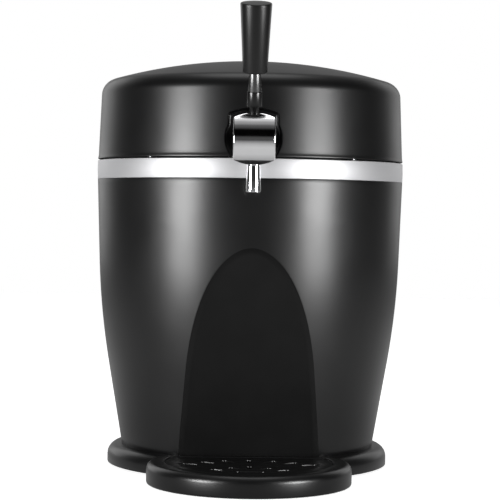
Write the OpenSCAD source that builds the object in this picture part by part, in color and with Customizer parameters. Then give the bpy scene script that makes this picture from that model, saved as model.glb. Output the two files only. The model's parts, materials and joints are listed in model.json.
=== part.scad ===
// Tabletop keg cooler and dispenser: a barrel-shaped cabinet for a five-litre keg, with a
// hinged lid that carries the tap, a drip tray in front and a cooling unit behind.
// Millimetres. +Z is up, -Y is the front, the keg's axis is X = Y = 0 and the feet rest on Z = 0.

/* [Cabinet] */
// Outside radius of the cabinet at its upper rim
rim_r = 134.8; // [132:0.1:137]
// Height of the cabinet's upper rim
rim_z = 250.4; // [249:0.2:252]
// Wall of the moulded covers
wall = 2.8; // [2.2:0.1:3.2]
// Lean of the flat niche behind the glass, from vertical
niche_tilt = 12.5; // [12:0.1:13]

/* [Chamber] */
// Radius of the keg chamber
keg_r = 86.5; // [84.5:0.1:87]
// Height of the chamber floor
keg_floor_z = 37.5; // [37:0.1:40]

/* [Base] */
// Radius of the round plinth
plinth_r = 123.6; // [122:0.1:125]
// Height of the plinth's top
plinth_z = 18; // [17.5:0.1:18.5]
// Radius of the drip tray
tray_r = 84.4; // [82:0.2:86]
// Distance from the keg's axis to the tray's centre
tray_reach = 124.8; // [124:0.2:126]

/* [Lid] */
// Radius of the lid at its lower edge
lid_r = 134.4; // [133:0.1:135]
// Height of the lid's crown
lid_top_z = 355.3; // [353:0.1:358]
// Radius of the crown's dome
dome_r = 432; // [420:2:470]

/* [Tap] */
// Outside radius of the spout
spout_r = 6; // [5:0.1:6.2]
// Height of the spout's mouth
spout_z = 238.7; // [232:0.1:242]
// Forward lean of the closed lever
lever_lean = 15; // [10:1:16]
// Length of the lever from its pin to the top of the grip
lever_len = 95.6; // [85:0.1:100]

/* [Hidden] */
$fn = 96;
eps = 0.1;
big = 400;

// Cabinet outline: a straight upper draft, a bow and a straight lower draft
shell_z = plinth_z;
bow_top_z = 180;
bow_foot_z = 90;
bow_r = 657;
draft = 0.033;
bow_steps = 8;
niche_foot_y = -94;

// Trim band, collar and chamber
band_top_z = 266.8;
band_r = rim_r + 0.2;
band_t = 1.5;
collar_z = 265.3;
collar_t = 3;
liner_t = 1;
flange_r = 95;
foam_top_z = 238;

// Base
foot_h = 2;
foot_r = 10;
plinth_round = 9.5;
plinth_wall = 3;
dock_y = -94.5;
dock_gap = 0.7;
base_half_w = 83;
rear_y = 207;
plate_t = 3.5;
screw_ring_r = 95;
tongue_x = 40;
tongue_w = 16;
tongue_z = 7.5;
tongue_h = 4;

// Drip tray
tray_top_z = 18.2;
tray_floor_z = 3.5;
tray_round = 6.5;
tray_in_r = 66;
ledge_r = 69.3;
ledge_z = 15.4;
grille_t = 2.2;
slot_w = 5;

// Rear cover and cooling unit
cover_half_w = 80;
cover_top_z = 250;
cover_wall = 2.5;
cover_round = 14;
cool_z = 120;
module_y = 105;
sink_y = 109;
sink_half_w = 50;
sink_half_h = 40;
fin_pitch = 6.5;
fin_tip_y = 141;
fan_y = 143;
fan_t = 20;
fan_half = 40;
fan_bore = 38;
fan_hole = 35.75;
tower_x = 66;
tower_zs = [60, 200];
sensor = [20.8, 88.6, 200];
inlet_x = -40;
switch_x = 36;
socket_z = 54;
pin_places = [[-7, -2.5], [0, 3], [7, -2.5]];
wire_sides = 8;
board_z = 30;
board_y = 190;
board_posts = [[-54, 141], [54, 141], [-54, 192], [54, 192]];

// Lid
lid_z = 268.1;
shoulder_r = lid_r - 2.3;
corner_r = 14;
liner_z = 269.3;
lid_room_r = 101.5;
lid_room_z = 318;
boss_r = 119;
coupler_z = 290;
hinge_y = 143;
hinge_z = 262;
knuckle_r = 6;
knuckle_half = 20;
hinge_pin_r = 2.5;
ear_x = 23.4;
ear_half = 2.8;

// Tap
recess_z = 283.5;
recess_r = 22.9;
recess_y = -118;
hood_half = 20;
hood_top_z = 307.6;
hood_r = 50.8;
tap_y = -153;
pivot = [-148, 296];
collar_foot = 24.45;
grip_foot = 39.9;
tap_pin_r = 2;
cover_axis = [-146, 281.3];
cover_r = 26;
cover_t = 1.8;
cover_half = 16.9;
cover_half_h = 20.85;
cover_edge_r = 36.3;
shank_r = 6.5;
line_z = 280;
valve_bore = 4.2;
valve_z = 263.5;
stem_r = 2.5;
run_gap = 0.05;

// ---------- helpers ----------

// Points of an arc in a profile, from angle a0 to a1 in n steps
function arc_pts(c, r, a0, a1, n) =
  [for (i = [0:n]) let (a = a0 + (a1 - a0) * i / n) [c[0] + r * cos(a), c[1] + r * sin(a)]];

// Radius of the cabinet at height z
function body_r(z) =
  z >= bow_top_z ? rim_r - draft * (rim_z - z)
  : z >= bow_foot_z ? body_r(bow_top_z) - draft * (bow_top_z - z) - pow(bow_top_z - z, 2) / (2 * bow_r)
  : body_r(bow_foot_z) - (draft + (bow_top_z - bow_foot_z) / bow_r) * (bow_foot_z - z);

// The barrel as a solid, with its side moved in by inset
module barrel(inset, z0, z1) {
  bow = [for (i = [0:bow_steps]) bow_foot_z + (bow_top_z - bow_foot_z) * i / bow_steps];
  side = [for (z = concat([z0], bow, [z1])) [body_r(z) - inset, z]];
  rotate_extrude() polygon(concat([[0, z0]], side, [[0, z1]]));
}

// Everything behind the niche's flat face, moved back by inset
module behind_niche(inset) {
  translate([-big / 2, niche_foot_y + inset / cos(niche_tilt), shell_z])
    rotate([niche_tilt, 0, 0])
      translate([0, 0, -big / 3])
        cube([big, big, big]);
}

// The barrel cut off at the niche's face
module cabinet_solid(inset, z0, z1) {
  intersection() {
    barrel(inset, z0, z1);
    behind_niche(inset);
  }
}

// A block from low corner to high corner
module block(low, high) {
  translate(low) cube(high - low);
}

// A rod along Y from y0 to y1, at height z
module rod_y(x, z, y0, y1, r) {
  translate([x, y0, z]) rotate([-90, 0, 0]) cylinder(r = r, h = y1 - y0);
}

// A rod along X from x0 to x1
module rod_x(x0, x1, y, z, r) {
  translate([x0, y, z]) rotate([0, 90, 0]) cylinder(r = r, h = x1 - x0);
}

// A flat outline in X and Z, drawn out from y_back towards the front
module front_prism(y_back, depth) {
  rotate([90, 0, 0]) translate([0, 0, -y_back]) linear_extrude(depth) children();
}

// A ring about the Z axis
module ring(r_in, r_out, z0, z1) {
  translate([0, 0, z0]) difference() {
    cylinder(r = r_out, h = z1 - z0);
    translate([0, 0, -1]) cylinder(r = r_in, h = z1 - z0 + 2);
  }
}

// A tube swept along points, closed at both ends
module sweep_tube(path, r, sides) {
  n = len(path);
  function along(i) = path[min(i + 1, n - 1)] - path[max(i - 1, 0)];
  function across(t) = let (c = cross(t, abs(t[2]) > 0.9 * norm(t) ? [1, 0, 0] : [0, 0, 1])) c / norm(c);
  rings = [for (i = [0:n - 1])
    let (t = along(i) / norm(along(i)), u = across(t), v = cross(t, u))
      for (k = [0:sides - 1]) path[i] + r * (cos(360 * k / sides) * u + sin(360 * k / sides) * v)];
  sheath = [for (i = [0:n - 2]) for (k = [0:sides - 1])
    let (a = i * sides + k, b = i * sides + (k + 1) % sides) [a, b, b + sides, a + sides]];
  start = [for (k = [0:sides - 1]) sides - 1 - k];
  end = [for (k = [0:sides - 1]) (n - 1) * sides + k];
  polyhedron(concat(rings), concat(sheath, [start, end]), convexity = 8);
}

// ---------- base ----------

module plinth_round_solid(inset) {
  arc = arc_pts([plinth_r - plinth_round, plinth_z - plinth_round], plinth_round - inset, 0, 90, 6);
  rotate_extrude()
    polygon(concat([[0, foot_h], [plinth_r - inset, foot_h]], arc, [[0, plinth_z - inset]]));
}

// Footprint of the straight rear part of the base and the cover, rounded at its rear corners
module rear_footprint(half_w, y0, y1, r) {
  translate([-half_w, y0]) square([2 * half_w, y1 - y0 - r]);
  translate([-half_w + r, y0]) square([2 * (half_w - r), y1 - y0]);
  for (x = [-half_w + r, half_w - r])
    translate([x, y1 - r]) circle(r = r);
}

module base_outer(inset) {
  plinth_round_solid(inset);
  translate([0, 0, foot_h])
    linear_extrude(plinth_z - foot_h - inset)
      rear_footprint(base_half_w - inset, 0, rear_y - inset, cover_round);
}

// Places of the base screws, one in each quarter
module base_screw_places() {
  for (a = [45:90:315])
    rotate(a) translate([screw_ring_r, 0, 0]) children();
}

module base_plinth() color("#191919") {
  difference() {
    union() {
      difference() {
        base_outer(0);
        translate([0, 0, -eps]) base_outer(plinth_wall);
      }
      intersection() {
        base_outer(0);
        block([-big / 2, dock_y, 0], [big / 2, dock_y + plinth_wall, plinth_z]);
      }
      base_screw_places()
        translate([0, 0, foot_h + plate_t]) cylinder(r = 5, h = plinth_z - foot_h - plate_t - 1);
      for (p = board_posts)
        translate([p[0], p[1], plinth_z - 1]) cylinder(r = 4, h = board_z - plinth_z + 1);
    }
    block([-big / 2, -big, -1], [big / 2, dock_y, big]);
    for (x = [-tongue_x, tongue_x])
      block([x - tongue_w / 2 - 0.5, dock_y - 1, tongue_z - 0.5],
        [x + tongue_w / 2 + 0.5, dock_y + plinth_wall + 1, tongue_z + tongue_h + 0.5]);
    base_screw_places()
      translate([0, 0, foot_h]) cylinder(r = 1.6, h = 12.5);
  }
}

module base_cover_plate() color("#232323") {
  difference() {
    intersection() {
      base_outer(plinth_wall + 0.3);
      block([-big / 2, dock_y + plinth_wall + 0.3, foot_h], [big / 2, big, foot_h + plate_t]);
    }
    base_screw_places() {
      translate([0, 0, foot_h - 1]) cylinder(r = 4.2, h = 3);
      cylinder(r = 1.7, h = 20);
    }
    for (x = [-30:12:30])
      translate([x - 2, -45, 0]) cube([4, 90, 20]);
  }
}

module base_screws() color("#9a9a9a") {
  base_screw_places() {
    translate([0, 0, foot_h + 0.1]) cylinder(r = 3.8, h = 1.9);
    translate([0, 0, foot_h + 2]) cylinder(r = 1.5, h = 10);
  }
}

module rubber_feet() color("#101010") {
  for (p = [[-45, -74], [45, -74], [-60, 178], [60, 178]])
    translate([p[0], p[1], 0]) cylinder(r = foot_r, h = foot_h);
}

// ---------- drip tray ----------

module tray_outer() {
  arc = arc_pts([tray_r - tray_round, tray_top_z - tray_round], tray_round, 0, 90, 6);
  translate([0, -tray_reach, 0])
    rotate_extrude()
      polygon(concat([[0, 0.5], [tray_r - 1, 0.5], [tray_r, 1.5]], arc, [[0, tray_top_z]]));
}

module tray_cut(r, z0, z1) {
  intersection() {
    translate([0, -tray_reach, z0]) cylinder(r = r, h = z1 - z0);
    block([-big / 2, -big, -1], [big / 2, dock_y - dock_gap - plinth_wall, big]);
  }
}

module drip_tray() color("#1b1b1b") {
  difference() {
    tray_outer();
    tray_cut(tray_in_r, tray_floor_z, 60);
    tray_cut(ledge_r, ledge_z, 60);
    block([-big / 2, dock_y - dock_gap, -1], [big / 2, big, big]);
  }
  for (x = [-tongue_x, tongue_x])
    block([x - tongue_w / 2, dock_y - dock_gap - 1, tongue_z],
      [x + tongue_w / 2, dock_y + 12, tongue_z + tongue_h]);
}

// One drain slot: its centre, its length and its turn from the front-to-back direction
module drain_slot(x, y, length, turn) {
  translate([x, y, ledge_z - 1])
    rotate(turn)
      linear_extrude(grille_t + 2) {
        square([slot_w, length - slot_w], center = true);
        for (s = [-1, 1])
          translate([0, s * (length - slot_w) / 2]) circle(r = slot_w / 2);
      }
}

module drip_grille() color("#151515") {
  difference() {
    tray_cut(ledge_r - 0.4, ledge_z, ledge_z + grille_t);
    block([-big / 2, dock_y - dock_gap - plinth_wall - 0.6, 0], [big / 2, big, big]);
    drain_slot(0, -120, 12, 0);
    drain_slot(0, -156, 12, 0);
    drain_slot(0, -180, 23, 90);
    for (s = [-1, 1]) {
      drain_slot(s * 17.7, -122, 13, -s * 42);
      drain_slot(s * 33.9, -129.4, 13, -s * 57);
      drain_slot(s * 48.3, -139.2, 13, -s * 73);
      drain_slot(s * 13.3, -160.6, 11, -s * 43);
      drain_slot(s * 26.6, -169.6, 11, -s * 60);
    }
  }
}

// ---------- cabinet ----------

// Distance back to the cabinet's surface at the rear cover's screws, at height z
function tower_y(z) = sqrt(pow(body_r(z), 2) - pow(tower_x, 2));

module body_shell() color("#1a1a1a") {
  difference() {
    cabinet_solid(0, shell_z, rim_z);
    intersection() {
      barrel(wall, shell_z + wall, rim_z + 1);
      behind_niche(wall);
    }
    cylinder(r = 60, h = shell_z + wall + 1);
    block([-62, 60, cool_z - 48], [62, big, cool_z + 48]);
    rod_y(sensor[0], sensor[2], 60, big, 2.5);
    for (x = [-tower_x, tower_x], z = tower_zs)
      rod_y(x, z, 60, big, 1.7);
  }
}

module collar_ring() color("#141414") {
  in_r = rim_r - wall - 0.5;
  out_r = band_r - band_t - 0.1;
  rotate_extrude()
    polygon([[keg_r + 0.1, collar_z - collar_t], [keg_r + 0.1, collar_z], [in_r - 5, collar_z],
      [in_r - 3.5, band_top_z - 0.2], [out_r, band_top_z - 0.2], [out_r, rim_z + eps],
      [in_r, rim_z + eps], [in_r, rim_z - 11.6], [in_r - 2.6, rim_z - 11.6],
      [in_r - 2.6, collar_z - 2 * collar_t], [in_r - 5, collar_z - collar_t]]);
}

module trim_ring() color("#c8c8c8") {
  ring(band_r - band_t, band_r, rim_z + eps, band_top_z);
}

module keg_liner() color("#b9bcbf") {
  out = keg_r + liner_t;
  lip_z = collar_z - collar_t - eps;
  rotate_extrude()
    polygon([[0, keg_floor_z - 1.5], [out - 6, keg_floor_z - 1.5], [out, keg_floor_z + 4.5],
      [out, lip_z - 1.3], [flange_r, lip_z - 1.3], [flange_r, lip_z], [keg_r, lip_z],
      [keg_r, keg_floor_z + 5], [keg_r - 5, keg_floor_z], [0, keg_floor_z]]);
}

module foam_jacket() color("#d9cfa8") {
  difference() {
    intersection() {
      barrel(wall + 1, keg_floor_z - 1.5, foam_top_z);
      behind_niche(wall + 1);
    }
    translate([0, 0, -1]) cylinder(r = keg_r + liner_t + 0.2, h = big);
    block([-36, 60, cool_z - 34], [36, big, cool_z + 34]);
    block([-60, sink_y - 2, cool_z - 44], [60, big, cool_z + 44]);
    block([-60, sink_y - 4.6, cool_z - 20], [60, big, cool_z]);
    translate([sensor[0], sensor[1], sensor[2] - 14]) cylinder(r = 4.5, h = 28);
    rod_y(sensor[0], sensor[2], sensor[1], big, 2.5);
    for (x = [-tower_x, tower_x], z = tower_zs)
      rod_y(x, z, tower_y(z) - 14, tower_y(z) + 4, 3);
  }
}

module floor_insulation() color("#d9cfa8") {
  intersection() {
    translate([0, 0, shell_z + wall + 0.1])
      cylinder(r = flange_r, h = keg_floor_z - shell_z - wall - 1.7);
    behind_niche(wall + 1);
  }
}

module keg_rest_pad() color("#202020") {
  ring(58, keg_r - 6.5, keg_floor_z + 0.05, keg_floor_z + 2);
}

// ---------- cooling unit ----------

module sink_screw_places() {
  for (x = [-4.5 * fin_pitch, 4.5 * fin_pitch], z = [cool_z - 26, cool_z + 26])
    translate([x, 0, z]) children();
}

module cold_block() color("#b4b7ba") {
  difference() {
    block([-34, 78, cool_z - 30], [34, module_y, cool_z + 30]);
    cylinder(r = keg_r + liner_t + 0.2, h = big);
    sink_screw_places() rod_y(0, 0, module_y - 12, module_y + 1, 1.4);
  }
}

module peltier_module() color("#e8e8e4") {
  block([-20, module_y + 0.05, cool_z - 20], [20, sink_y - 0.05, cool_z + 20]);
}

module hot_heatsink() color("#a9abae") {
  difference() {
    union() {
      block([-sink_half_w, sink_y, cool_z - sink_half_h],
        [sink_half_w, sink_y + 5, cool_z + sink_half_h]);
      for (k = [-7:7])
        block([k * fin_pitch - 0.9, sink_y + 4, cool_z - sink_half_h],
          [k * fin_pitch + 0.9, fin_tip_y, cool_z + sink_half_h]);
    }
    sink_screw_places() rod_y(0, 0, sink_y - 1, sink_y + 6, 1.5);
  }
}

module heatsink_screws() color("#8f8f8f") {
  sink_screw_places() {
    rod_y(0, 0, module_y - 11, sink_y + 5.1, 1.3);
    rod_y(0, 0, sink_y + 5.1, sink_y + 7.2, 2.2);
  }
}

module fan_frame() color("#1d1d1d") {
  back = fan_y + fan_t;
  difference() {
    union() {
      difference() {
        block([-fan_half, fan_y, cool_z - fan_half], [fan_half, back, cool_z + fan_half]);
        rod_y(0, cool_z, fan_y - 1, back + 1, fan_bore);
      }
      rod_y(0, cool_z, back - 3, back - 0.2, 13);
      for (a = [45:90:315])
        translate([0, back - 2.8, cool_z]) rotate([0, a, 0]) translate([8, 0, -2]) cube([32, 2.4, 4]);
    }
    rod_y(0, cool_z, back - 4, back + 1, 1.45);
    for (x = [-fan_hole, fan_hole], z = [-fan_hole, fan_hole])
      rod_y(x, cool_z + z, fan_y - 1, back + 1, 2.2);
  }
}

module fan_rotor() color("#2a2a2a") {
  rod_y(0, cool_z, fan_y + 2, fan_y + fan_t - 3.8, 14);
  rod_y(0, cool_z, fan_y + fan_t - 4, fan_y + fan_t - 0.5, 1.4);
  intersection() {
    rod_y(0, cool_z, fan_y + 2, fan_y + fan_t - 4.5, fan_bore - 1.5);
    for (k = [0:6])
      translate([0, fan_y + 8.5, cool_z])
        rotate([0, k * 360 / 7, 0])
          translate([12, 0, 0])
            rotate([40, 0, 0])
              translate([0, -0.8, -8.5]) cube([28, 1.6, 17]);
  }
}

module fan_screws() color("#8f8f8f") {
  for (x = [-fan_hole, fan_hole], z = [-fan_hole, fan_hole]) {
    rod_y(x, cool_z + z, fin_tip_y - 6, fan_y + fan_t + 0.1, 1.8);
    rod_y(x, cool_z + z, fan_y + fan_t + 0.1, fan_y + fan_t + 2, 3.4);
  }
}

// ---------- rear cover and electrics ----------

module hinge_screw_places(z) {
  for (x = [-32, 32], y = [hinge_y + 1, hinge_y + 12])
    translate([x, y, z]) children();
}

// An opening through the rear panel for the inlet or the switch
module panel_opening(x, half_w, half_h) {
  block([x - half_w, rear_y - 10, socket_z - half_h], [x + half_w, rear_y + 1, socket_z + half_h]);
}

module rear_cover() color("#1a1a1a") {
  difference() {
    union() {
      difference() {
        translate([0, 0, plinth_z])
          linear_extrude(cover_top_z - plinth_z)
            rear_footprint(cover_half_w, 50, rear_y, cover_round);
        translate([0, 0, plinth_z - 1])
          linear_extrude(cover_top_z - plinth_z + 1 - cover_wall)
            rear_footprint(cover_half_w - cover_wall, 0, rear_y - cover_wall, cover_round - cover_wall);
      }
      for (x = [-tower_x, tower_x], z = tower_zs)
        rod_y(x, z, 80, rear_y - 1, 5.5);
      for (x = [-34, 34], z = [186, 226])
        rod_y(x, z, board_y + 1.7, rear_y - 1, 3);
      hinge_screw_places(cover_top_z - 12) cylinder(r = 4, h = 11);
    }
    barrel(-0.3, 0, 300);
    for (x = [-tower_x, tower_x], z = tower_zs) {
      rod_y(x, z, 80, rear_y + 1, 1.7);
      rod_y(x, z, tower_y(z) + 6, rear_y + 1, 3.8);
    }
    hinge_screw_places(cover_top_z - 14) cylinder(r = 1.6, h = 20);
    block([-42, rear_y - 10, cool_z - 42], [42, rear_y + 1, cool_z + 42]);
    panel_opening(inlet_x, 14.2, 10.2);
    panel_opening(switch_x, 9.2, 12.2);
    for (k = [0:9])
      block([-big / 2, 140, 84 + 8 * k], [big / 2, 190, 87 + 8 * k]);
  }
}

module rear_cover_screws() color("#8f8f8f") {
  for (x = [-tower_x, tower_x], z = tower_zs) {
    rod_y(x, z, tower_y(z) - 9, tower_y(z) + 6.1, 1.5);
    rod_y(x, z, tower_y(z) + 6.1, tower_y(z) + 8.2, 3.2);
  }
}

module vent_grille() color("#161616") {
  difference() {
    union() {
      block([-46, rear_y - cover_wall - 2.5, cool_z - 46], [46, rear_y - cover_wall - 0.1, cool_z + 46]);
      block([-41.8, rear_y - cover_wall - 1, cool_z - 41.8], [41.8, rear_y - 0.4, cool_z + 41.8]);
    }
    for (k = [-6:6])
      block([-37, rear_y - 10, cool_z + k * 6 - 1.5], [37, rear_y + 1, cool_z + k * 6 + 1.5]);
  }
}

module power_board() color("#2c6b3f") {
  block([-60, 134, board_z + 0.05], [60, 198, board_z + 1.6]);
}

module transformer() color("#d9b23c") {
  block([-22, 148, board_z + 1.65], [14, 178, board_z + 8]);
  block([-17, 148, board_z + 7.9], [9, 178, board_z + 24]);
  block([-22, 152, board_z + 23.9], [14, 174, board_z + 30]);
}

module capacitors() color("#27303f") {
  for (p = [[40, 146, 8, 26], [40, 165, 8, 26], [-48, 148, 6, 20]])
    translate([p[0], p[1], board_z + 1.65]) cylinder(r = p[2], h = p[3]);
}

module control_board() color("#2c6b3f") {
  block([-40, board_y, 180], [40, board_y + 1.6, 232]);
  block([-9, board_y - 2, 196], [9, board_y + 0.5, 214]);
  block([22, board_y - 4, 214], [34, board_y + 0.5, 224]);
}

module temperature_sensor() color("#c9c9c9") {
  translate([sensor[0], sensor[1], sensor[2] - 10]) cylinder(r = 3, h = 20);
}

module peltier_leads() color("#a02020") {
  for (k = [0, 1])
    sweep_tube([[20.2, 107, 103 + 6 * k], [34, 107, 103 + 6 * k], [48, 107, 102 + 6 * k],
      [55, 110, 99 + 6 * k], [56.5, 118, 94 + 6 * k], [57, 128, 88 + 6 * k],
      [57, 138, 80 + 6 * k], [56, 146 + 3 * k, 68 + 3 * k], [55, 150 + 6 * k, 52],
      [54, 151 + 6 * k, 42], [54, 151 + 6 * k, board_z + 1.7]], 1, wire_sides);
}

module fan_lead() color("#303030") {
  sweep_tube([[24, 153, cool_z - fan_half - 0.1], [24, 153.5, 72], [24, 156, 62], [24, 159, 50],
    [24, 161, 40], [24, 161, board_z + 1.7]], 1.1, wire_sides);
}

module mains_leads() color("#7a4a22") {
  for (x = [-7, 7])
    sweep_tube([[inlet_x + x, 179.9, 51.5], [inlet_x + x, 176, 50.5], [inlet_x + x, 171.5, 46],
      [inlet_x + x, 169, 40], [inlet_x + x, 168.5, board_z + 1.7]], 1.2, wire_sides);
}

module sensor_lead() color("#303030") {
  x = sensor[0];
  z = sensor[2];
  sweep_tube([[x, sensor[1] + 3.1, z], [x, 110, z], [x, 130, z], [x, 145, z + 0.5], [x, 160, z + 2],
    [x, 175, z + 3.5], [x, board_y - 0.1, z + 4]], 1, wire_sides);
}

module power_inlet() color("#141414") {
  difference() {
    union() {
      block([inlet_x - 14, rear_y - 21, socket_z - 10], [inlet_x + 14, rear_y + 1, socket_z + 10]);
      block([inlet_x - 18, rear_y + run_gap, socket_z - 12], [inlet_x + 18, rear_y + 2, socket_z + 12]);
    }
    block([inlet_x - 12, rear_y - 13, socket_z - 8], [inlet_x + 12, rear_y + 3, socket_z + 8]);
    for (p = pin_places)
      block([inlet_x + p[0] - 1.05, rear_y - 22, socket_z + p[1] - 2.05],
        [inlet_x + p[0] + 1.05, rear_y, socket_z + p[1] + 2.05]);
  }
}

module inlet_pins() color("#c0c0c0") {
  for (p = pin_places)
    block([inlet_x + p[0] - 1, 180, socket_z + p[1] - 2],
      [inlet_x + p[0] + 1, rear_y - 3, socket_z + p[1] + 2]);
}

module switch_housing() color("#141414") {
  difference() {
    union() {
      block([switch_x - 9, rear_y - 19, socket_z - 12], [switch_x + 9, rear_y + 1, socket_z + 12]);
      block([switch_x - 11, rear_y + run_gap, socket_z - 14], [switch_x + 11, rear_y + 2, socket_z + 14]);
    }
    block([switch_x - 6.6, rear_y - 16.5, socket_z - 10.8],
      [switch_x + 6.6, rear_y + 3, socket_z + 10.8]);
    rod_x(switch_x - 8, switch_x + 8, rear_y - 8, socket_z, 1.2 + run_gap);
  }
}

module switch_rocker() color("#a01818") {
  translate([switch_x, rear_y - 8, socket_z])
    rotate([-8, 0, 0]) {
      translate([-6.2, 0, 0])
        rotate([90, 0, 90])
          linear_extrude(12.4)
            polygon([[8.3, 9], [6.8, 0], [8.3, -9], [3, -9], [-3, -3], [-3, 3], [3, 9]]);
      rod_x(-7.8, 7.8, 0, 0, 1.2);
    }
}

// ---------- lid ----------

// The lid's outside as a solid, with its surface moved in by inset
module lid_solid(inset, z0) {
  corner_x = shoulder_r - corner_r;
  dome_cz = lid_top_z - dome_r;
  corner_z = dome_cz + sqrt(pow(dome_r - corner_r, 2) - pow(corner_x, 2));
  meet = acos(corner_x / (dome_r - corner_r));
  corner = arc_pts([corner_x, corner_z], corner_r - inset, 0, meet, 7);
  dome = arc_pts([0, dome_cz], dome_r - inset, meet, 90, 6);
  rotate_extrude()
    polygon(concat([[0, z0], [lid_r - inset, z0]], corner, [for (i = [1:6]) dome[i]]));
}

// Outline of the lid's tap recess: a round dish under an arched hood
module recess_outline(grow) {
  translate([0, recess_z]) circle(r = recess_r + grow);
  intersection() {
    translate([-hood_half - grow, recess_z]) square([2 * (hood_half + grow), 40]);
    translate([0, hood_top_z - hood_r]) circle(r = hood_r + grow);
  }
}

module lid_screw_places() {
  for (a = [45:90:315])
    rotate(a) translate([boss_r, 0, 0]) children();
}

module lid_shell() color("#1a1a1a") {
  difference() {
    union() {
      difference() {
        lid_solid(0, lid_z);
        lid_solid(wall, lid_z - 1);
      }
      intersection() {
        lid_solid(0.5, lid_z);
        union() {
          front_prism(recess_y + cover_wall, 60) recess_outline(cover_wall);
          lid_screw_places()
            translate([0, 0, liner_z + cover_wall + eps]) cylinder(r = 4.5, h = 80);
        }
      }
    }
    front_prism(recess_y, 60) recess_outline(0);
    rod_y(0, recess_z, recess_y - 2, recess_y + 4, shank_r + 0.2);
    lid_screw_places()
      translate([0, 0, liner_z]) cylinder(r = 1.6, h = 16);
  }
}

module lid_liner() color("#26282a") {
  out = lid_room_r + cover_wall;
  edge = lid_r - wall - 1;
  difference() {
    union() {
      rotate_extrude()
        polygon([[lid_room_r, liner_z], [edge, liner_z], [edge, liner_z + cover_wall],
          [out, liner_z + cover_wall], [out, lid_room_z + cover_wall], [0, lid_room_z + cover_wall],
          [0, lid_room_z], [lid_room_r, lid_room_z]]);
      translate([0, 0, coupler_z + 19]) cylinder(r = 5, h = lid_room_z - coupler_z - 18);
    }
    front_prism(recess_y + 5.5, 60) recess_outline(3.2);
    rod_y(0, line_z, -big, 0, 6);
    lid_screw_places()
      translate([0, 0, liner_z - 1]) cylinder(r = 1.8, h = 10);
  }
}

module lid_foam() color("#d9cfa8") {
  intersection() {
    lid_solid(wall + 1, lid_room_z + cover_wall + 0.2);
    cylinder(r = 100, h = big);
  }
}

module lid_gasket() color("#0f0f0f") {
  ring(106, 111.5, collar_z + 0.3, liner_z - 0.05);
}

module lid_screws() color("#8f8f8f") {
  lid_screw_places() {
    translate([0, 0, liner_z - 1.9]) cylinder(r = 3.6, h = 1.8);
    translate([0, 0, liner_z - 0.2]) cylinder(r = 1.5, h = 15);
  }
}

// ---------- hinge ----------

module hinge_bracket() color("#1f1f1f") {
  difference() {
    union() {
      block([-38, hinge_y - 5, cover_top_z + 0.05], [38, hinge_y + 17, cover_top_z + 2.8]);
      for (x = [-ear_x, ear_x]) {
        rod_x(x - ear_half, x + ear_half, hinge_y, hinge_z, knuckle_r);
        block([x - ear_half, hinge_y - 5, cover_top_z + 1], [x + ear_half, hinge_y + knuckle_r, hinge_z]);
      }
    }
    rod_x(-30, 30, hinge_y, hinge_z, hinge_pin_r + 0.02);
    hinge_screw_places(cover_top_z - 1) cylinder(r = 1.8, h = 10);
  }
}

module hinge_screws() color("#8f8f8f") {
  hinge_screw_places(cover_top_z - 10) {
    cylinder(r = 1.5, h = 13);
    translate([0, 0, 12.9]) cylinder(r = 3.2, h = 1.8);
  }
}

module hinge_pin() color("#b5b5b5") {
  rod_x(-27.5, 27.5, hinge_y, hinge_z, hinge_pin_r);
  for (s = [-1, 1])
    rod_x(s * 27.3 - 1, s * 27.3 + 1, hinge_y, hinge_z, 4);
}

module hinge_arm_hole_places() {
  for (x = [-12, 12], z = [284, 296])
    translate([x, 0, z]) children();
}

module hinge_arm() color("#1f1f1f") {
  difference() {
    union() {
      rod_x(-knuckle_half, knuckle_half, hinge_y, hinge_z, knuckle_r);
      block([-knuckle_half, hinge_y - 7.2, hinge_z], [knuckle_half, hinge_y - 3, 304]);
      block([-knuckle_half, hinge_y - 14, lid_z + 1.2], [knuckle_half, hinge_y - 6, 304]);
    }
    lid_solid(-run_gap, lid_z);
    rod_x(-30, 30, hinge_y, hinge_z, hinge_pin_r + run_gap);
    hinge_arm_hole_places() rod_y(0, 0, 100, 160, 1.7);
  }
}

module hinge_arm_screws() color("#8f8f8f") {
  hinge_arm_hole_places() {
    rod_y(0, 0, hinge_y - 7.2, hinge_y - 2.9, 1.5);
    rod_y(0, 0, hinge_y - 2.9, hinge_y - 1.1, 3.2);
  }
}

// ---------- tap ----------

module tap_body() color("#2b2b2b") {
  difference() {
    union() {
      translate([0, tap_y, valve_z]) cylinder(r = 8, h = 22.5);
      block([-8, tap_y, 272], [8, tap_y + 15, 286]);
      rod_y(0, recess_z, tap_y + 13, -108, shank_r);
      rod_y(0, recess_z, recess_y - 3, recess_y - 0.05, 12.5);
      rod_y(0, line_z, -109, -98, 3.2);
      for (s = [-1, 1]) {
        rod_x(s * 7.9 - 1.5, s * 7.9 + 1.5, pivot[0], pivot[1], 5.5);
        block([s * 7.9 - 1.5, pivot[0] - 5.5, 278], [s * 7.9 + 1.5, pivot[0] + 5.5, pivot[1]]);
      }
    }
    translate([0, tap_y, valve_z - 0.5]) cylinder(r = valve_bore, h = 19);
    translate([0, tap_y, valve_z - 0.5]) cylinder(r = stem_r + run_gap, h = 30);
    rod_y(0, line_z, tap_y, -90, 1.8);
    rod_x(-12, 12, pivot[0], pivot[1], tap_pin_r + 0.02);
  }
}

// Front outline of the tap's cover: a narrow plate with curved upper and lower edges
module cover_outline() {
  intersection() {
    translate([-cover_half, cover_axis[1] - cover_half_h]) square([2 * cover_half, 2 * cover_half_h]);
    translate([0, cover_axis[1] + cover_half_h - cover_edge_r]) circle(r = cover_edge_r);
    translate([0, cover_axis[1] - cover_half_h + cover_edge_r]) circle(r = cover_edge_r);
  }
}

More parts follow.
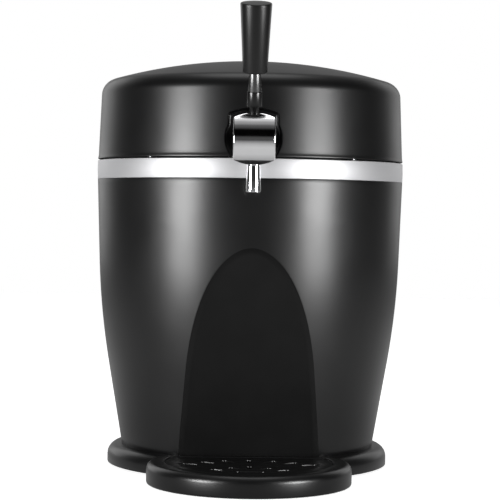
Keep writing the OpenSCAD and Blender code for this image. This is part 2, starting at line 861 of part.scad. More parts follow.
module tap_cover() color("#e2e2e2") {
  difference() {
    intersection() {
      rod_x(-cover_half, cover_half, cover_axis[0], cover_axis[1], cover_r);
      front_prism(cover_axis[0] - 1, 60) cover_outline();
    }
    rod_x(-cover_half + cover_t, cover_half - cover_t, cover_axis[0], cover_axis[1], cover_r - cover_t);
    front_prism(cover_axis[0] - 5, 60)
      translate([0, cover_axis[1] + cover_half_h]) scale([1, 0.5]) circle(r = 3.8);
  }
}

module shank_nut() color("#b0b0b0") {
  difference() {
    rotate([90, 0, 0]) translate([0, recess_z, 109]) cylinder(r = 10, h = 6.4, $fn = 6);
    rod_y(0, recess_z, -130, -100, shank_r + run_gap);
  }
}

module spout() color("#d8d8d8") {
  bore = spout_r - 1.9;
  translate([0, tap_y, 0])
    rotate_extrude()
      polygon([[bore, spout_z], [spout_r - 0.5, spout_z], [spout_r, spout_z + 0.5],
        [spout_r, spout_z + 11], [spout_r - 0.9, 261], [spout_r + 0.3, 261],
        [spout_r + 0.3, valve_z - 0.1], [spout_r - 1.7, valve_z - 0.1], [spout_r - 1.7, 258.5],
        [2.2, 258.5], [2.2, 257], [bore, 257]]);
}

module valve_seat() color("#161616") {
  translate([0, tap_y, 0]) ring(3, valve_bore - 0.05, 271.4, 273.4);
}

module valve_spring() color("#c9c9c9") {
  turns = 5;
  steps = 14;
  low = 259.1;
  high = 268.1;
  sweep_tube([for (i = [0:turns * steps]) let (t = i / (turns * steps))
    [2.9 * cos(360 * turns * t), tap_y + 2.9 * sin(360 * turns * t), low + (high - low) * t]], 0.4, 8);
}

module valve_plunger() color("#d0d0d0") {
  translate([0, tap_y, 0]) {
    translate([0, 0, 262.5]) cylinder(r = 1.6, h = 7);
    translate([0, 0, 268.6]) cylinder(r = 3.9, h = 2.6);
    translate([0, 0, 271]) cylinder(r = stem_r, h = 18);
    translate([0, 0, 288.3]) cylinder(r = 3.6, h = 1.5);
  }
}

module lever_pin() color("#c0c0c0") {
  rod_x(-cover_half + cover_t + 0.05, cover_half - cover_t - 0.05, pivot[0], pivot[1], tap_pin_r);
}

// Places its children along the closed lever, with the pin at the origin and the grip up
module on_lever() {
  translate([0, pivot[0], pivot[1]]) rotate([lever_lean, 0, 0]) children();
}

module lever_stem() color("#151515") {
  difference() {
    union() {
      rod_x(-6, 6, pivot[0], pivot[1], 5.6);
      rod_x(-4, 4, tap_y - 1, 292, 2);
      on_lever() {
        translate([0, 0, 2]) cylinder(r = 3.8, h = 11);
        translate([0, 0, 12.5]) cylinder(r = 6.1, h = collar_foot - 12.55);
      }
    }
    rod_x(-10, 10, pivot[0], pivot[1], tap_pin_r + run_gap);
  }
}

module lever_collar() color("#dcdcdc") {
  on_lever()
    translate([0, 0, collar_foot]) cylinder(r1 = 5.5, r2 = 4.9, h = grip_foot - run_gap - collar_foot);
}

module lever_grip() color("#181818") {
  foot_r = 9.85;
  top_r = 12.7;
  round = 1.1;
  on_lever()
    rotate_extrude()
      polygon(concat([[0, grip_foot], [foot_r - 0.8, grip_foot], [foot_r, grip_foot + 0.8]],
        arc_pts([top_r - round, lever_len - round], round, 0, 90, 4), [[0, lever_len + 0.4]]));
}

module beer_line() color("#cfd6d8") {
  sweep_tube([[0, -97.9, line_z], [0, -90, line_z], [0, -81, 281.2], [0, -72, 284], [0, -63, 288],
    [0, -54, 292.4], [0, -45, 296.3], [0, -36, 299], [0, -30, coupler_z + 10],
    [0, -24.2, coupler_z + 10]], 4, 12);
}

module keg_coupler() color("#1f1f1f") {
  difference() {
    union() {
      translate([0, 0, coupler_z]) cylinder(r = 12, h = 15);
      translate([0, 0, coupler_z]) cylinder(r = 15, h = 4);
      translate([0, 0, coupler_z + 14]) cylinder(r = 9, h = 4.9);
      rod_y(0, coupler_z + 10, -24, 0, 3.2);
    }
    translate([0, 0, coupler_z - 1]) cylinder(r = 6, h = 11.3);
    translate([0, 0, coupler_z - 1]) cylinder(r = 5.4, h = 13);
  }
}

module coupler_seal() color("#0f0f0f") {
  ring(3, 5.35, coupler_z + 10.4, coupler_z + 11.9);
}

// ---------- output ----------

base_plinth();
base_cover_plate();
base_screws();
rubber_feet();
body_shell();
trim_ring();
collar_ring();
keg_liner();
foam_jacket();
floor_insulation();
keg_rest_pad();
cold_block();
peltier_module();
hot_heatsink();
heatsink_screws();
fan_frame();
fan_rotor();
fan_screws();
rear_cover();
rear_cover_screws();
vent_grille();
power_board();
transformer();
capacitors();
control_board();
temperature_sensor();
peltier_leads();
fan_lead();
mains_leads();
sensor_lead();
power_inlet();
inlet_pins();
switch_housing();
switch_rocker();
hinge_bracket();
hinge_screws();
hinge_pin();
lid_shell();
lid_liner();
lid_foam();
lid_gasket();
lid_screws();
hinge_arm();
hinge_arm_screws();
tap_body();
tap_cover();
shank_nut();
spout();
valve_seat();
valve_spring();
valve_plunger();
lever_pin();
lever_stem();
lever_collar();
lever_grip();
beer_line();
keg_coupler();
coupler_seal();
drip_tray();
drip_grille();
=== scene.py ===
"""Looks for the tabletop keg cooler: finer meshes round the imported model, materials, light and camera.
Metres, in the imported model's frame: +Z up, -Y to the front, the keg's axis at X = Y = 0."""

import json
import math

import bmesh
import bpy
from mathutils import Matrix, Vector


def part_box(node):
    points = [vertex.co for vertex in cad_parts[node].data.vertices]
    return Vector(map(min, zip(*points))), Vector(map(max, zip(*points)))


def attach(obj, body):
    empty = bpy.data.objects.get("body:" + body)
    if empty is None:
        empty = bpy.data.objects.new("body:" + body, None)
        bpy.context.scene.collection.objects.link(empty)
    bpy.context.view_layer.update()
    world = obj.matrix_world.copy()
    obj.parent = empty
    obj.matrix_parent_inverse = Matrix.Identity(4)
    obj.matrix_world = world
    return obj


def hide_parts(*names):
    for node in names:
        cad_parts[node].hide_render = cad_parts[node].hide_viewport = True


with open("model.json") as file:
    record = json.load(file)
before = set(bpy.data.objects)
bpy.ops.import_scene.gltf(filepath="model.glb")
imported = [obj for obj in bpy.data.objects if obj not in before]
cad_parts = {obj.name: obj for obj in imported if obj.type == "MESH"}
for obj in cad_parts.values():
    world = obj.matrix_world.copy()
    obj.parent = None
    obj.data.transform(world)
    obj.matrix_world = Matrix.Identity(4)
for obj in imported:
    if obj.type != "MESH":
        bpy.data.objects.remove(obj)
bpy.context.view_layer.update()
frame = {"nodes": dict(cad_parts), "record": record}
MM = 0.001
NODE_BODY = {n: b for b, ns in frame["record"]["behaviour"]["bodies"].items() for n in ns}
NODE_SLOT = {s["node"]: s["material_slot"] for s in frame["record"]["subparts"]}
bpy.context.scene.view_settings.view_transform = "Standard"


# ---------- materials ----------

class Nodes:
    """A material's node tree, with the few kinds of node that this scene uses."""

    def __init__(self, name):
        self.material = bpy.data.materials.new(name)
        self.material.use_nodes = True
        self.tree = self.material.node_tree
        self.shader = self.tree.nodes["Principled BSDF"]
        self.place = self.tree.nodes.new("ShaderNodeTexCoord").outputs["Object"]

    def set(self, **values):
        for key, value in values.items():
            self.shader.inputs[key.replace("_", " ")].default_value = value
        return self

    def link(self, a, b):
        self.tree.links.new(a, b)

    def stretched(self, scale):
        mapping = self.tree.nodes.new("ShaderNodeMapping")
        mapping.inputs["Scale"].default_value = scale
        self.link(self.place, mapping.inputs["Vector"])
        return mapping.outputs["Vector"]

    def noise(self, scale, detail=2.0, rough=0.5, stretch=None):
        node = self.tree.nodes.new("ShaderNodeTexNoise")
        node.inputs["Scale"].default_value = scale
        node.inputs["Detail"].default_value = detail
        node.inputs["Roughness"].default_value = rough
        self.link(self.stretched(stretch) if stretch else self.place, node.inputs["Vector"])
        return node.outputs["Fac"]

    def cells(self, scale):
        node = self.tree.nodes.new("ShaderNodeTexVoronoi")
        node.inputs["Scale"].default_value = scale
        self.link(self.place, node.inputs["Vector"])
        return node.outputs["Distance"]

    def between(self, source, low, high, from_low=0.3, from_high=0.7):
        node = self.tree.nodes.new("ShaderNodeMapRange")
        self.link(source, node.inputs["Value"])
        node.inputs["From Min"].default_value = from_low
        node.inputs["From Max"].default_value = from_high
        node.inputs["To Min"].default_value = low
        node.inputs["To Max"].default_value = high
        return node.outputs["Result"]

    def tint(self, source, dark, light):
        node = self.tree.nodes.new("ShaderNodeMix")
        node.data_type = "RGBA"
        self.link(self.between(source, 0.0, 1.0), node.inputs["Factor"])
        node.inputs[6].default_value = (*dark, 1)
        node.inputs[7].default_value = (*light, 1)
        return node.outputs[2]

    def bump(self, height, strength, distance):
        node = self.tree.nodes.new("ShaderNodeBump")
        node.inputs["Strength"].default_value = strength
        node.inputs["Distance"].default_value = distance
        self.link(height, node.inputs["Height"])
        self.link(node.outputs["Normal"], self.shader.inputs["Normal"])


def shade(colour, factor):
    return tuple(c * factor for c in colour)


def moulded(name, colour, roughness, grain=1100, strength=0.12, gloss=0.5, vary=0.12):
    """Injection-moulded plastic: a fine spark-eroded grain, with patches that are a little smoother."""
    n = Nodes(name).set(Specular_IOR_Level=gloss)
    patches = n.tint(n.noise(38, 3), shade(colour, 1 - vary), shade(colour, 1 + vary))
    n.link(patches, n.shader.inputs["Base Color"])
    n.link(n.between(n.noise(21, 4), roughness * 0.93, roughness * 1.07), n.shader.inputs["Roughness"])
    n.bump(n.noise(grain, 2, 0.6), strength, 0.00012)
    return n.material


def rubbery(name, colour):
    n = Nodes(name).set(Specular_IOR_Level=0.3)
    n.link(n.tint(n.noise(60, 3), shade(colour, 0.8), shade(colour, 1.25)), n.shader.inputs["Base Color"])
    n.link(n.between(n.noise(300, 2), 0.7, 0.85), n.shader.inputs["Roughness"])
    n.bump(n.noise(900, 2), 0.15, 0.0001)
    return n.material


def metal(name, colour, roughness, stretch=(60, 60, 60), scale=1.0, strength=0.04, metallic=1.0, vary=0.06):
    """Bare metal whose fine lines run across the stretched direction."""
    n = Nodes(name).set(Metallic=metallic)
    lines = n.noise(scale, 3, 0.7, stretch)
    n.link(n.tint(lines, shade(colour, 1 - vary), shade(colour, 1 + vary)), n.shader.inputs["Base Color"])
    n.link(n.between(lines, roughness * 0.85, roughness * 1.15), n.shader.inputs["Roughness"])
    n.bump(lines, strength, 0.00005)
    return n.material


def foamed(name, colour):
    n = Nodes(name)
    n.link(n.tint(n.noise(50, 4), shade(colour, 0.85), shade(colour, 1.1)), n.shader.inputs["Base Color"])
    n.set(Roughness=0.9)
    n.bump(n.cells(420), 0.5, 0.0004)
    return n.material


MATERIALS = {
    "cabinet_plastic": moulded("cabinet_plastic", (0.0022, 0.0022, 0.0023), 0.33, 1300, 0.10, 0.38),
    "niche_plastic": moulded("niche_plastic", (0.0036, 0.0036, 0.0036), 0.5, 1300, 0.12, 0.13),
    "base_plastic": moulded("base_plastic", (0.0026, 0.0026, 0.0027), 0.3, 1500, 0.06, 0.36),
    "handle_plastic": moulded("handle_plastic", (0.0026, 0.0026, 0.0026), 0.28, 1700, 0.05, 0.4),
    "inner_plastic": moulded("inner_plastic", (0.022, 0.022, 0.024), 0.45, 1000, 0.15, 0.4),
    "trim_steel": metal("trim_steel", (0.46, 0.46, 0.47), 0.5, (30, 30, 9000), 1.0, 0.05, 0.7, 0.05),
    "tap_chrome": metal("tap_chrome", (0.86, 0.86, 0.87), 0.1, (90, 90, 90), 1.0, 0.0, 1.0, 0.015),
    # The collar's chrome: a copy of the tap's chrome darkened to 0.10 and made rougher, so the collar comes
    # out dark. This is painted shade for the dark reflections it shows.
    "collar_chrome_painted_shade": metal("collar_chrome_painted_shade", (0.10, 0.10, 0.10), 0.3, (90, 90, 90), 1.0, 0.0, 1.0, 0.015),
    "liner_aluminium": metal("liner_aluminium", (0.62, 0.63, 0.64), 0.34, (25, 25, 3500),
                             1.0, 0.08, 1.0, 0.08),
    "sink_aluminium": metal("sink_aluminium", (0.55, 0.56, 0.57), 0.4, (40, 40, 1600), 1.0, 0.1, 1.0, 0.1),
    "screw_steel": metal("screw_steel", (0.42, 0.42, 0.43), 0.3, (900, 900, 900), 1.0, 0.08, 1.0, 0.12),
    "hinge_steel": moulded("hinge_steel", (0.010, 0.010, 0.010), 0.42, 2200, 0.25, 0.5),
    "rubber": rubbery("rubber", (0.012, 0.012, 0.012)),
    "foam": foamed("foam", (0.62, 0.55, 0.34)),
    "ceramic": moulded("ceramic", (0.72, 0.72, 0.69), 0.4, 600, 0.1, 0.5, 0.04),
    "board": moulded("board", (0.012, 0.09, 0.03), 0.25, 500, 0.15, 0.5, 0.35),
    "winding": moulded("winding", (0.5, 0.31, 0.05), 0.45, 350, 0.4, 0.4, 0.2),
    "capacitor_sleeve": moulded("capacitor_sleeve", (0.012, 0.018, 0.05), 0.25, 500, 0.05, 0.5, 0.1),
    "wire_red": moulded("wire_red", (0.32, 0.012, 0.012), 0.4, 600, 0.1, 0.5, 0.1),
    "wire_black": moulded("wire_black", (0.012, 0.012, 0.012), 0.4, 600, 0.1, 0.5, 0.1),
    "wire_brown": moulded("wire_brown", (0.14, 0.05, 0.018), 0.4, 600, 0.1, 0.5, 0.1),
    "switch_red": moulded("switch_red", (0.33, 0.008, 0.008), 0.28, 1200, 0.05, 0.5, 0.06),
    "tube": moulded("tube", (0.62, 0.66, 0.67), 0.25, 200, 0.05, 0.5, 0.04),
}


# ---------- mesh helpers ----------

def link_object(name, mesh):
    obj = bpy.data.objects.new(name, mesh)
    bpy.context.scene.collection.objects.link(obj)
    return obj


def mark_sharp(bm, angle=32):
    """Smooth faces everywhere, with sharp edges where faces meet at more than the angle in degrees."""
    limit = math.radians(angle)
    for f in bm.faces:
        f.smooth = True
    for e in bm.edges:
        e.smooth = len(e.link_faces) == 2 and e.calc_face_angle(0) < limit


def from_bmesh(name, bm):
    mesh = bpy.data.meshes.new(name)
    bm.to_mesh(mesh)
    bm.free()
    return link_object(name, mesh)


def apply_modifiers(obj):
    """Replaces the object's mesh by what its modifiers make of it."""
    graph = bpy.context.evaluated_depsgraph_get()
    mesh = bpy.data.meshes.new_from_object(obj.evaluated_get(graph))
    obj.modifiers.clear()
    obj.data = mesh
    return obj


def soften(obj, width, segments=2, angle=35):
    """Rounds every edge that is sharper than the angle, then marks what is still sharp."""
    mod = obj.modifiers.new("soften", "BEVEL")
    mod.width = width
    mod.segments = segments
    mod.limit_method = "ANGLE"
    mod.angle_limit = math.radians(angle)
    mod.miter_outer = "MITER_ARC"
    mod.use_clamp_overlap = True
    apply_modifiers(obj)
    bm = bmesh.new()
    bm.from_mesh(obj.data)
    mark_sharp(bm, 50)
    bm.to_mesh(obj.data)
    bm.free()
    return obj


def dress(obj, node, also=()):
    """Gives a piece its material and its body, and lets it stand for its CAD node."""
    slot = NODE_SLOT[node]
    places = [face.material_index for face in obj.data.polygons]
    obj.data.materials.clear()
    obj.data.materials.append(MATERIALS[slot])
    for other in also:
        obj.data.materials.append(MATERIALS[other])
    if also:
        obj.data.polygons.foreach_set("material_index", places)
    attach(obj, NODE_BODY[node])
    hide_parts(node)
    return obj


def refine(node, width):
    """A cleaner copy of a CAD node: welded, its flat faces whole, its edges rounded."""
    bm = bmesh.new()
    bm.from_mesh(frame["nodes"][node].data)
    bmesh.ops.remove_doubles(bm, verts=bm.verts, dist=2e-6)
    bmesh.ops.dissolve_limit(bm, angle_limit=math.radians(0.6), verts=bm.verts, edges=bm.edges)
    mark_sharp(bm)
    obj = from_bmesh(node + "_piece", bm)
    if width:
        soften(obj, width)
    return dress(obj, node)


def arc(cx, cz, r, a0, a1, n):
    """Points of an arc in a profile, in millimetres and degrees."""
    steps = [math.radians(a0 + (a1 - a0) * i / n) for i in range(n + 1)]
    return [(cx + r * math.cos(a), cz + r * math.sin(a)) for a in steps]


def rounded(corners, n=5):
    """A closed profile from corners (r, z, radius), each rounded by its radius."""
    out = []
    for i, (x, z, radius) in enumerate(corners):
        here = Vector((x, z))
        before = Vector(corners[i - 1][:2]) - here
        after = Vector(corners[(i + 1) % len(corners)][:2]) - here
        if radius <= 0:
            out.append((x, z))
            continue
        half = before.angle(after) / 2
        reach = radius / math.tan(half)
        centre = here + (before.normalized() + after.normalized()).normalized() * (radius / math.sin(half))
        start = here + before.normalized() * reach - centre
        end = here + after.normalized() * reach - centre
        turn = start.angle_signed(end)
        for k in range(n + 1):
            p = centre + Matrix.Rotation(-turn * k / n, 2) @ start
            out.append((p.x, p.y))
    return out


def revolved(name, profile, segments=192, centre=(0.0, 0.0)):
    """A solid of revolution about a vertical line from a profile (r, z) in millimetres."""
    bm = bmesh.new()
    rings = []
    for k in range(segments):
        a = 2 * math.pi * k / segments
        c, s = math.cos(a), math.sin(a)
        ring = [(centre[0] + r * MM * c, centre[1] + r * MM * s, z * MM) for r, z in profile]
        rings.append([bm.verts.new(p) for p in ring])
    count = len(profile)
    for k in range(segments):
        a, b = rings[k], rings[(k + 1) % segments]
        for i in range(count):
            j = (i + 1) % count
            bm.faces.new((a[i], b[i], b[j], a[j]))
    bmesh.ops.remove_doubles(bm, verts=bm.verts, dist=1e-7)
    bmesh.ops.dissolve_degenerate(bm, edges=bm.edges, dist=1e-8)
    bmesh.ops.recalc_face_normals(bm, faces=bm.faces)
    mark_sharp(bm)
    return from_bmesh(name, bm)


def grid(bm, rows, material=0):
    """Faces between rows of points of one length, each row a list of coordinates in metres."""
    made = [[bm.verts.new(p) for p in row] for row in rows]
    for a, b in zip(made, made[1:]):
        for i in range(len(a) - 1):
            face = bm.faces.new((a[i], a[i + 1], b[i + 1], b[i]))
            face.material_index = material


def resample(points, count):
    """The same line with count points, evenly spaced along it."""
    steps = [0.0]
    for a, b in zip(points, points[1:]):
        steps.append(steps[-1] + (Vector(b) - Vector(a)).length)
    out, k = [], 0
    for i in range(count):
        want = steps[-1] * i / (count - 1)
        while k < len(points) - 2 and steps[k + 1] < want:
            k += 1
        share = (want - steps[k]) / max(steps[k + 1] - steps[k], 1e-12)
        out.append(tuple(Vector(points[k]).lerp(Vector(points[k + 1]), min(max(share, 0), 1))))
    return out


def close_shell(bm, name, thickness):
    """Welds the patches, turns the faces outward and gives the skin its thickness."""
    bmesh.ops.remove_doubles(bm, verts=bm.verts, dist=2e-6)
    bmesh.ops.recalc_face_normals(bm, faces=bm.faces)
    mark_sharp(bm)
    obj = from_bmesh(name, bm)
    mod = obj.modifiers.new("thickness", "SOLIDIFY")
    mod.thickness = thickness
    mod.offset = -1
    mod.use_even_offset = True
    return apply_modifiers(obj)


# ---------- cabinet barrel with its niche ----------

BOW_TOP, BOW_FOOT, BOW_R, DRAFT = 180.0, 90.0, 657.0, 0.033
shell_lo, shell_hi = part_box("body_shell")
SHELL_Z0, SHELL_Z1, RIM_R = shell_lo.z / MM, shell_hi.z / MM, shell_hi.x / MM
NICHE_Y, NICHE_TILT = -94.0, math.radians(12.5)
NICHE_BOW, NICHE_HEIGHT = 1.25, 176


def barrel_r(z):
    """Radius of the barrel at height z, in millimetres."""
    if z >= BOW_TOP:
        return RIM_R - DRAFT * (SHELL_Z1 - z)
    if z >= BOW_FOOT:
        return barrel_r(BOW_TOP) - DRAFT * (BOW_TOP - z) - (BOW_TOP - z) ** 2 / (2 * BOW_R)
    return barrel_r(BOW_FOOT) - (DRAFT + (BOW_TOP - BOW_FOOT) / BOW_R) * (BOW_FOOT - z)


def on_barrel(a, z):
    """A point of the barrel's side. a is the angle from the front, in radians, positive to +X."""
    r = barrel_r(z)
    return (r * math.sin(a) * MM, -r * math.cos(a) * MM, z * MM)


def niche_y(z):
    """Distance of the niche's edge from the axis at height z: a leaning line that bows out a little."""
    up = z - SHELL_Z0
    return NICHE_Y - up * math.tan(NICHE_TILT) - NICHE_BOW * math.sin(math.pi * up / NICHE_HEIGHT)


def niche_half(z):
    """Half of the niche's width at height z."""
    return math.sqrt(max(barrel_r(z) ** 2 - niche_y(z) ** 2, 0))


def framed_patch(bm, inner, outer, surface, rings):
    """Rings of faces between two lines of (angle, height) points, laid on a surface."""
    rows = []
    for k in range(rings + 1):
        t = (k / rings) ** 1.6
        pairs = zip(inner, outer)
        rows.append([surface(a0 + (a1 - a0) * t, z0 + (z1 - z0) * t) for (a0, z0), (a1, z1) in pairs])
    grid(bm, rows)


def make_barrel():
    top = SHELL_Z1
    niche_top = next(z / 10 for z in range(int(SHELL_Z0 * 10), int(top * 10)) if niche_half(z / 10) == 0)
    frame_a, frame_z, side_z = math.radians(38), 216.0, 168.0
    low_rows = [SHELL_Z0 + (side_z - SHELL_Z0) * i / 40 for i in range(41)]
    side_rows = [side_z + (frame_z - side_z) * i / 14 for i in range(15)]
    high_rows = [frame_z + (top - frame_z) * i / 8 for i in range(9)]
    top_cols = [-frame_a + 2 * frame_a * i / 36 for i in range(37)]
    back_cols = [frame_a + (2 * math.pi - 2 * frame_a) * i / 140 for i in range(141)]
    bm = bmesh.new()
    rows = low_rows + side_rows[1:] + high_rows[1:]
    grid(bm, [[on_barrel(a, z) for a in back_cols] for z in rows])
    grid(bm, [[on_barrel(a, z) for a in top_cols] for z in high_rows])
    # the frame round the niche: the arch's line, and the line of the grid's edge that it meets
    outer = [(-frame_a, z) for z in low_rows] + [(-frame_a, z) for z in side_rows[1:]]
    outer += [(a, frame_z) for a in top_cols[1:-1]]
    outer += [(frame_a, z) for z in reversed(side_rows[1:])] + [(frame_a, z) for z in reversed(low_rows)]
    crown = [(math.asin(niche_half(z) / barrel_r(z)), z)
             for z in [side_z + (niche_top - side_z) * math.sin(math.pi / 2 * i / 60) for i in range(61)]]
    crown_scaled = [(-a * 130, z) for a, z in crown] + [(a * 130, z) for a, z in reversed(crown[:-1])]
    crown_line = [(a / 130, z) for a, z in resample(crown_scaled, len(outer) - 2 * len(low_rows) + 2)]
    legs = [(math.asin(niche_half(z) / barrel_r(z)), z) for z in low_rows]
    inner = [(-a, z) for a, z in legs[:-1]] + crown_line + [(a, z) for a, z in reversed(legs[:-1])]
    framed_patch(bm, inner, outer, on_barrel, 12)
    # the niche: a chamfered lip, a hollow corner and the flat panel, each line moved in from the arch
    edge = [(barrel_r(z) * math.sin(a), z) for a, z in inner]
    normals = []
    for i in range(len(edge)):
        before, after = Vector(edge[max(i - 1, 0)]), Vector(edge[min(i + 1, len(edge) - 1)])
        along = (after - before).normalized()
        normal = Vector((along.y, -along.x))
        if i in (0, len(edge) - 1):
            normal = Vector((math.copysign(1, -edge[i][0]), 0))
        normals.append(normal)
    lip = [(0.0, 0.0), (0.5, 0.35), (1.2, 0.75), (3.6, 1.75), (4.4, 1.98), (5.2, 2.06), (6.4, 2.1)]
    rows = []
    for inset, depth in lip:
        row = []
        for (x, z), normal in zip(edge, normals):
            px, pz = x + normal.x * inset, max(z + normal.y * inset, SHELL_Z0)
            row.append((px * MM, (niche_y(pz) + depth) * MM, pz * MM))
        rows.append(row)
    grid(bm, rows, 1)
    last = rows[-1]
    half = len(last) // 2
    panel = []
    for i in range(half):
        left, right = Vector(last[i]), Vector(last[-1 - i])
        panel.append([tuple(left.lerp(right, k / 16)) for k in range(17)])
    grid(bm, panel, 1)
    tip = [bm.verts.new(p) for p in panel[-1]]
    peak = bm.verts.new(last[half])
    for a, b in zip(tip, tip[1:]):
        bm.faces.new((a, b, peak)).material_index = 1
    obj = close_shell(bm, "cabinet_barrel", 2.6 * MM)
    window = link_object("window_cutter", bpy.data.meshes.new("window_cutter"))
    box = bmesh.new()
    window_size = Matrix.Diagonal((0.124, 0.18, 0.096, 1))
    bmesh.ops.create_cube(box, size=1, matrix=Matrix.Translation((0, 0.15, 0.12)) @ window_size)
    box.to_mesh(window.data)
    box.free()
    cut = obj.modifiers.new("window", "BOOLEAN")
    cut.object = window
    cut.operation = "DIFFERENCE"
    cut.solver = "EXACT"
    apply_modifiers(obj)
    bpy.data.objects.remove(window)
    soften(obj, 0.7 * MM, 2, 24)
    return dress(obj, "body_shell", also=["niche_plastic"])


# ---------- lid with its tap recess ----------

lid_lo, lid_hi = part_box("lid_shell")
LID_Z0, LID_TOP, LID_R = lid_lo.z / MM, lid_hi.z / MM, lid_hi.x / MM
CORNER_R, DOME_R = 14.0, 432.0
SHOULDER_R = LID_R - 2.3
CORNER_X = SHOULDER_R - CORNER_R
DOME_CZ = LID_TOP - DOME_R
CORNER_Z = DOME_CZ + math.sqrt((DOME_R - CORNER_R) ** 2 - CORNER_X ** 2)
MEET = math.degrees(math.acos(CORNER_X / (DOME_R - CORNER_R)))
RECESS_Z, RECESS_R, RECESS_BACK = 283.5, 22.9, -118.0
HOOD_HALF, HOOD_TOP, HOOD_R = 20.0, 307.6, 50.8


def lid_r(z):
    """Radius of the lid's wall, with the small lip that it has along its lower edge."""
    lip = 0.35 * math.exp(-((z - LID_Z0 - 0.8) / 1.3) ** 2)
    return LID_R - (LID_R - SHOULDER_R) * (z - LID_Z0) / (CORNER_Z - LID_Z0) + lip


def on_lid(a, z):
    r = lid_r(z)
    return (r * math.sin(a) * MM, -r * math.cos(a) * MM, z * MM)


def recess_line(count):
    """The recess's outline from its lower left end, up over the hood, to its lower right end, in X and Z."""
    low = math.asin((LID_Z0 - RECESS_Z) / RECESS_R)
    high = math.acos(HOOD_HALF / RECESS_R)
    corner = 2.2
    steps = [low + (high - low) * i / 40 for i in range(41)]
    side = [(RECESS_R * math.cos(a), RECESS_Z + RECESS_R * math.sin(a)) for a in steps]
    hood_z = HOOD_TOP - HOOD_R
    edge_z = hood_z + math.sqrt(HOOD_R ** 2 - (HOOD_HALF - corner) ** 2)
    up = [(HOOD_HALF, z) for z in (side[-1][1] + 0.5, edge_z - corner * 1.2)]
    turns = [math.radians(t) for t in (15, 40, 65)]
    turn_z = edge_z - corner * 1.05
    turn = [(HOOD_HALF - corner + corner * math.cos(t), turn_z + corner * math.sin(t)) for t in turns]
    across = [(HOOD_HALF - corner) * (1 - i / 20) for i in range(21)]
    arch = [(x, hood_z + math.sqrt(HOOD_R ** 2 - x ** 2)) for x in across]
    right = side + up + turn + arch
    left = [(-x, z) for x, z in right]
    return resample(left + list(reversed(right[:-1])), count)


def make_lid():
    frame_a, frame_z = math.radians(19), 321.0
    wall_rows = [LID_Z0 + d for d in (0, 0.4, 0.8, 1.3, 1.9, 2.6, 3.6, 5.2)]
    wall_rows += [LID_Z0 + 5.2 + (frame_z - LID_Z0 - 5.2) * i / 20 for i in range(1, 21)]
    front_cols = [-frame_a + 2 * frame_a * i / 30 for i in range(31)]
    back_cols = [frame_a + (2 * math.pi - 2 * frame_a) * i / 162 for i in range(163)]
    bm = bmesh.new()
    grid(bm, [[on_lid(a, z) for a in back_cols] for z in wall_rows])
    profile = [(lid_r(z), z) for z in (frame_z, (frame_z + CORNER_Z) / 2)]
    profile += arc(CORNER_X, CORNER_Z, CORNER_R, 0, MEET, 14)
    dome = arc(0, DOME_CZ, DOME_R, MEET, 90, 30)
    profile += dome[1:-1]
    cols = front_cols + back_cols[1:]
    rows = [[(r * math.sin(a) * MM, -r * math.cos(a) * MM, z * MM) for a in cols] for r, z in profile]
    grid(bm, rows)
    peak = bm.verts.new((0, 0, LID_TOP * MM))
    brim = [bm.verts.new(p) for p in rows[-1]]
    for a, b in zip(brim, brim[1:]):
        bm.faces.new((a, b, peak))
    # the frame round the recess, a rounded rim, the recess's wall, a hollow corner and its back
    outer = [(-frame_a, z) for z in wall_rows] + [(a, frame_z) for a in front_cols[1:-1]]
    outer += [(frame_a, z) for z in reversed(wall_rows)]
    line = recess_line(len(outer))
    rim = 1.1
    outward = []
    for i, (x, z) in enumerate(line):
        before, after = Vector(line[max(i - 1, 0)]), Vector(line[min(i + 1, len(line) - 1)])
        along = (after - before).normalized()
        normal = Vector((-along.y, along.x))
        if i in (0, len(line) - 1):
            normal = Vector((math.copysign(1, x), 0))
        outward.append(normal)

    def wall_y(x, z):
        return -math.sqrt(max(lid_r(z) ** 2 - x ** 2, 0))

    start = []
    for (x, z), n in zip(line, outward):
        px, pz = x + n.x * rim, max(z + n.y * rim, LID_Z0)
        start.append((math.asin(px / lid_r(pz)), pz))
    framed_patch(bm, start, outer, on_lid, 10)
    rows = []
    for t in (90, 67, 45, 22, 0):
        sink = rim * (1 - math.cos(math.radians(90 - t))) if t else rim
        out = rim * (1 - math.sin(math.radians(90 - t)))
        row = []
        for (x, z), n in zip(line, outward):
            px, pz = x + n.x * out, max(z + n.y * out, LID_Z0)
            row.append((px * MM, (wall_y(px, pz) + sink) * MM, pz * MM))
        rows.append(row)
    for depth in (0.3, 0.6, 0.85):
        deep = [(x, (wall_y(x, z) + rim) * (1 - depth) + RECESS_BACK * depth, z) for x, z in line]
        rows.append([(x * MM, y * MM, z * MM) for x, y, z in deep])
    for inset, lift in ((0.0, 1.5), (0.25, 0.75), (0.75, 0.25), (1.5, 0.0)):
        row = []
        for (x, z), n in zip(line, outward):
            px, pz = x - n.x * inset, max(z - n.y * inset, LID_Z0)
            row.append((px * MM, (RECESS_BACK - lift) * MM, pz * MM))
        rows.append(row)
    inside = [(p[0], p[2]) for p in rows[-1]]
    for share in (0.3, 0.6, 0.85):
        row = []
        for x, z in inside:
            if z > LID_Z0 * MM + 1e-6:
                z = max(z + (RECESS_Z * MM - z) * share, LID_Z0 * MM)
            row.append((x * (1 - share), RECESS_BACK * MM, z))
        rows.append(row)
    grid(bm, rows)
    last = rows[-1]
    loop = [bm.verts.new(p) for p in last]
    bm.faces.new(loop)
    obj = close_shell(bm, "lid_dome", 2.4 * MM)
    soften(obj, 0.5 * MM, 2, 60)
    return dress(obj, "lid_shell")


# ---------- tap cover ----------

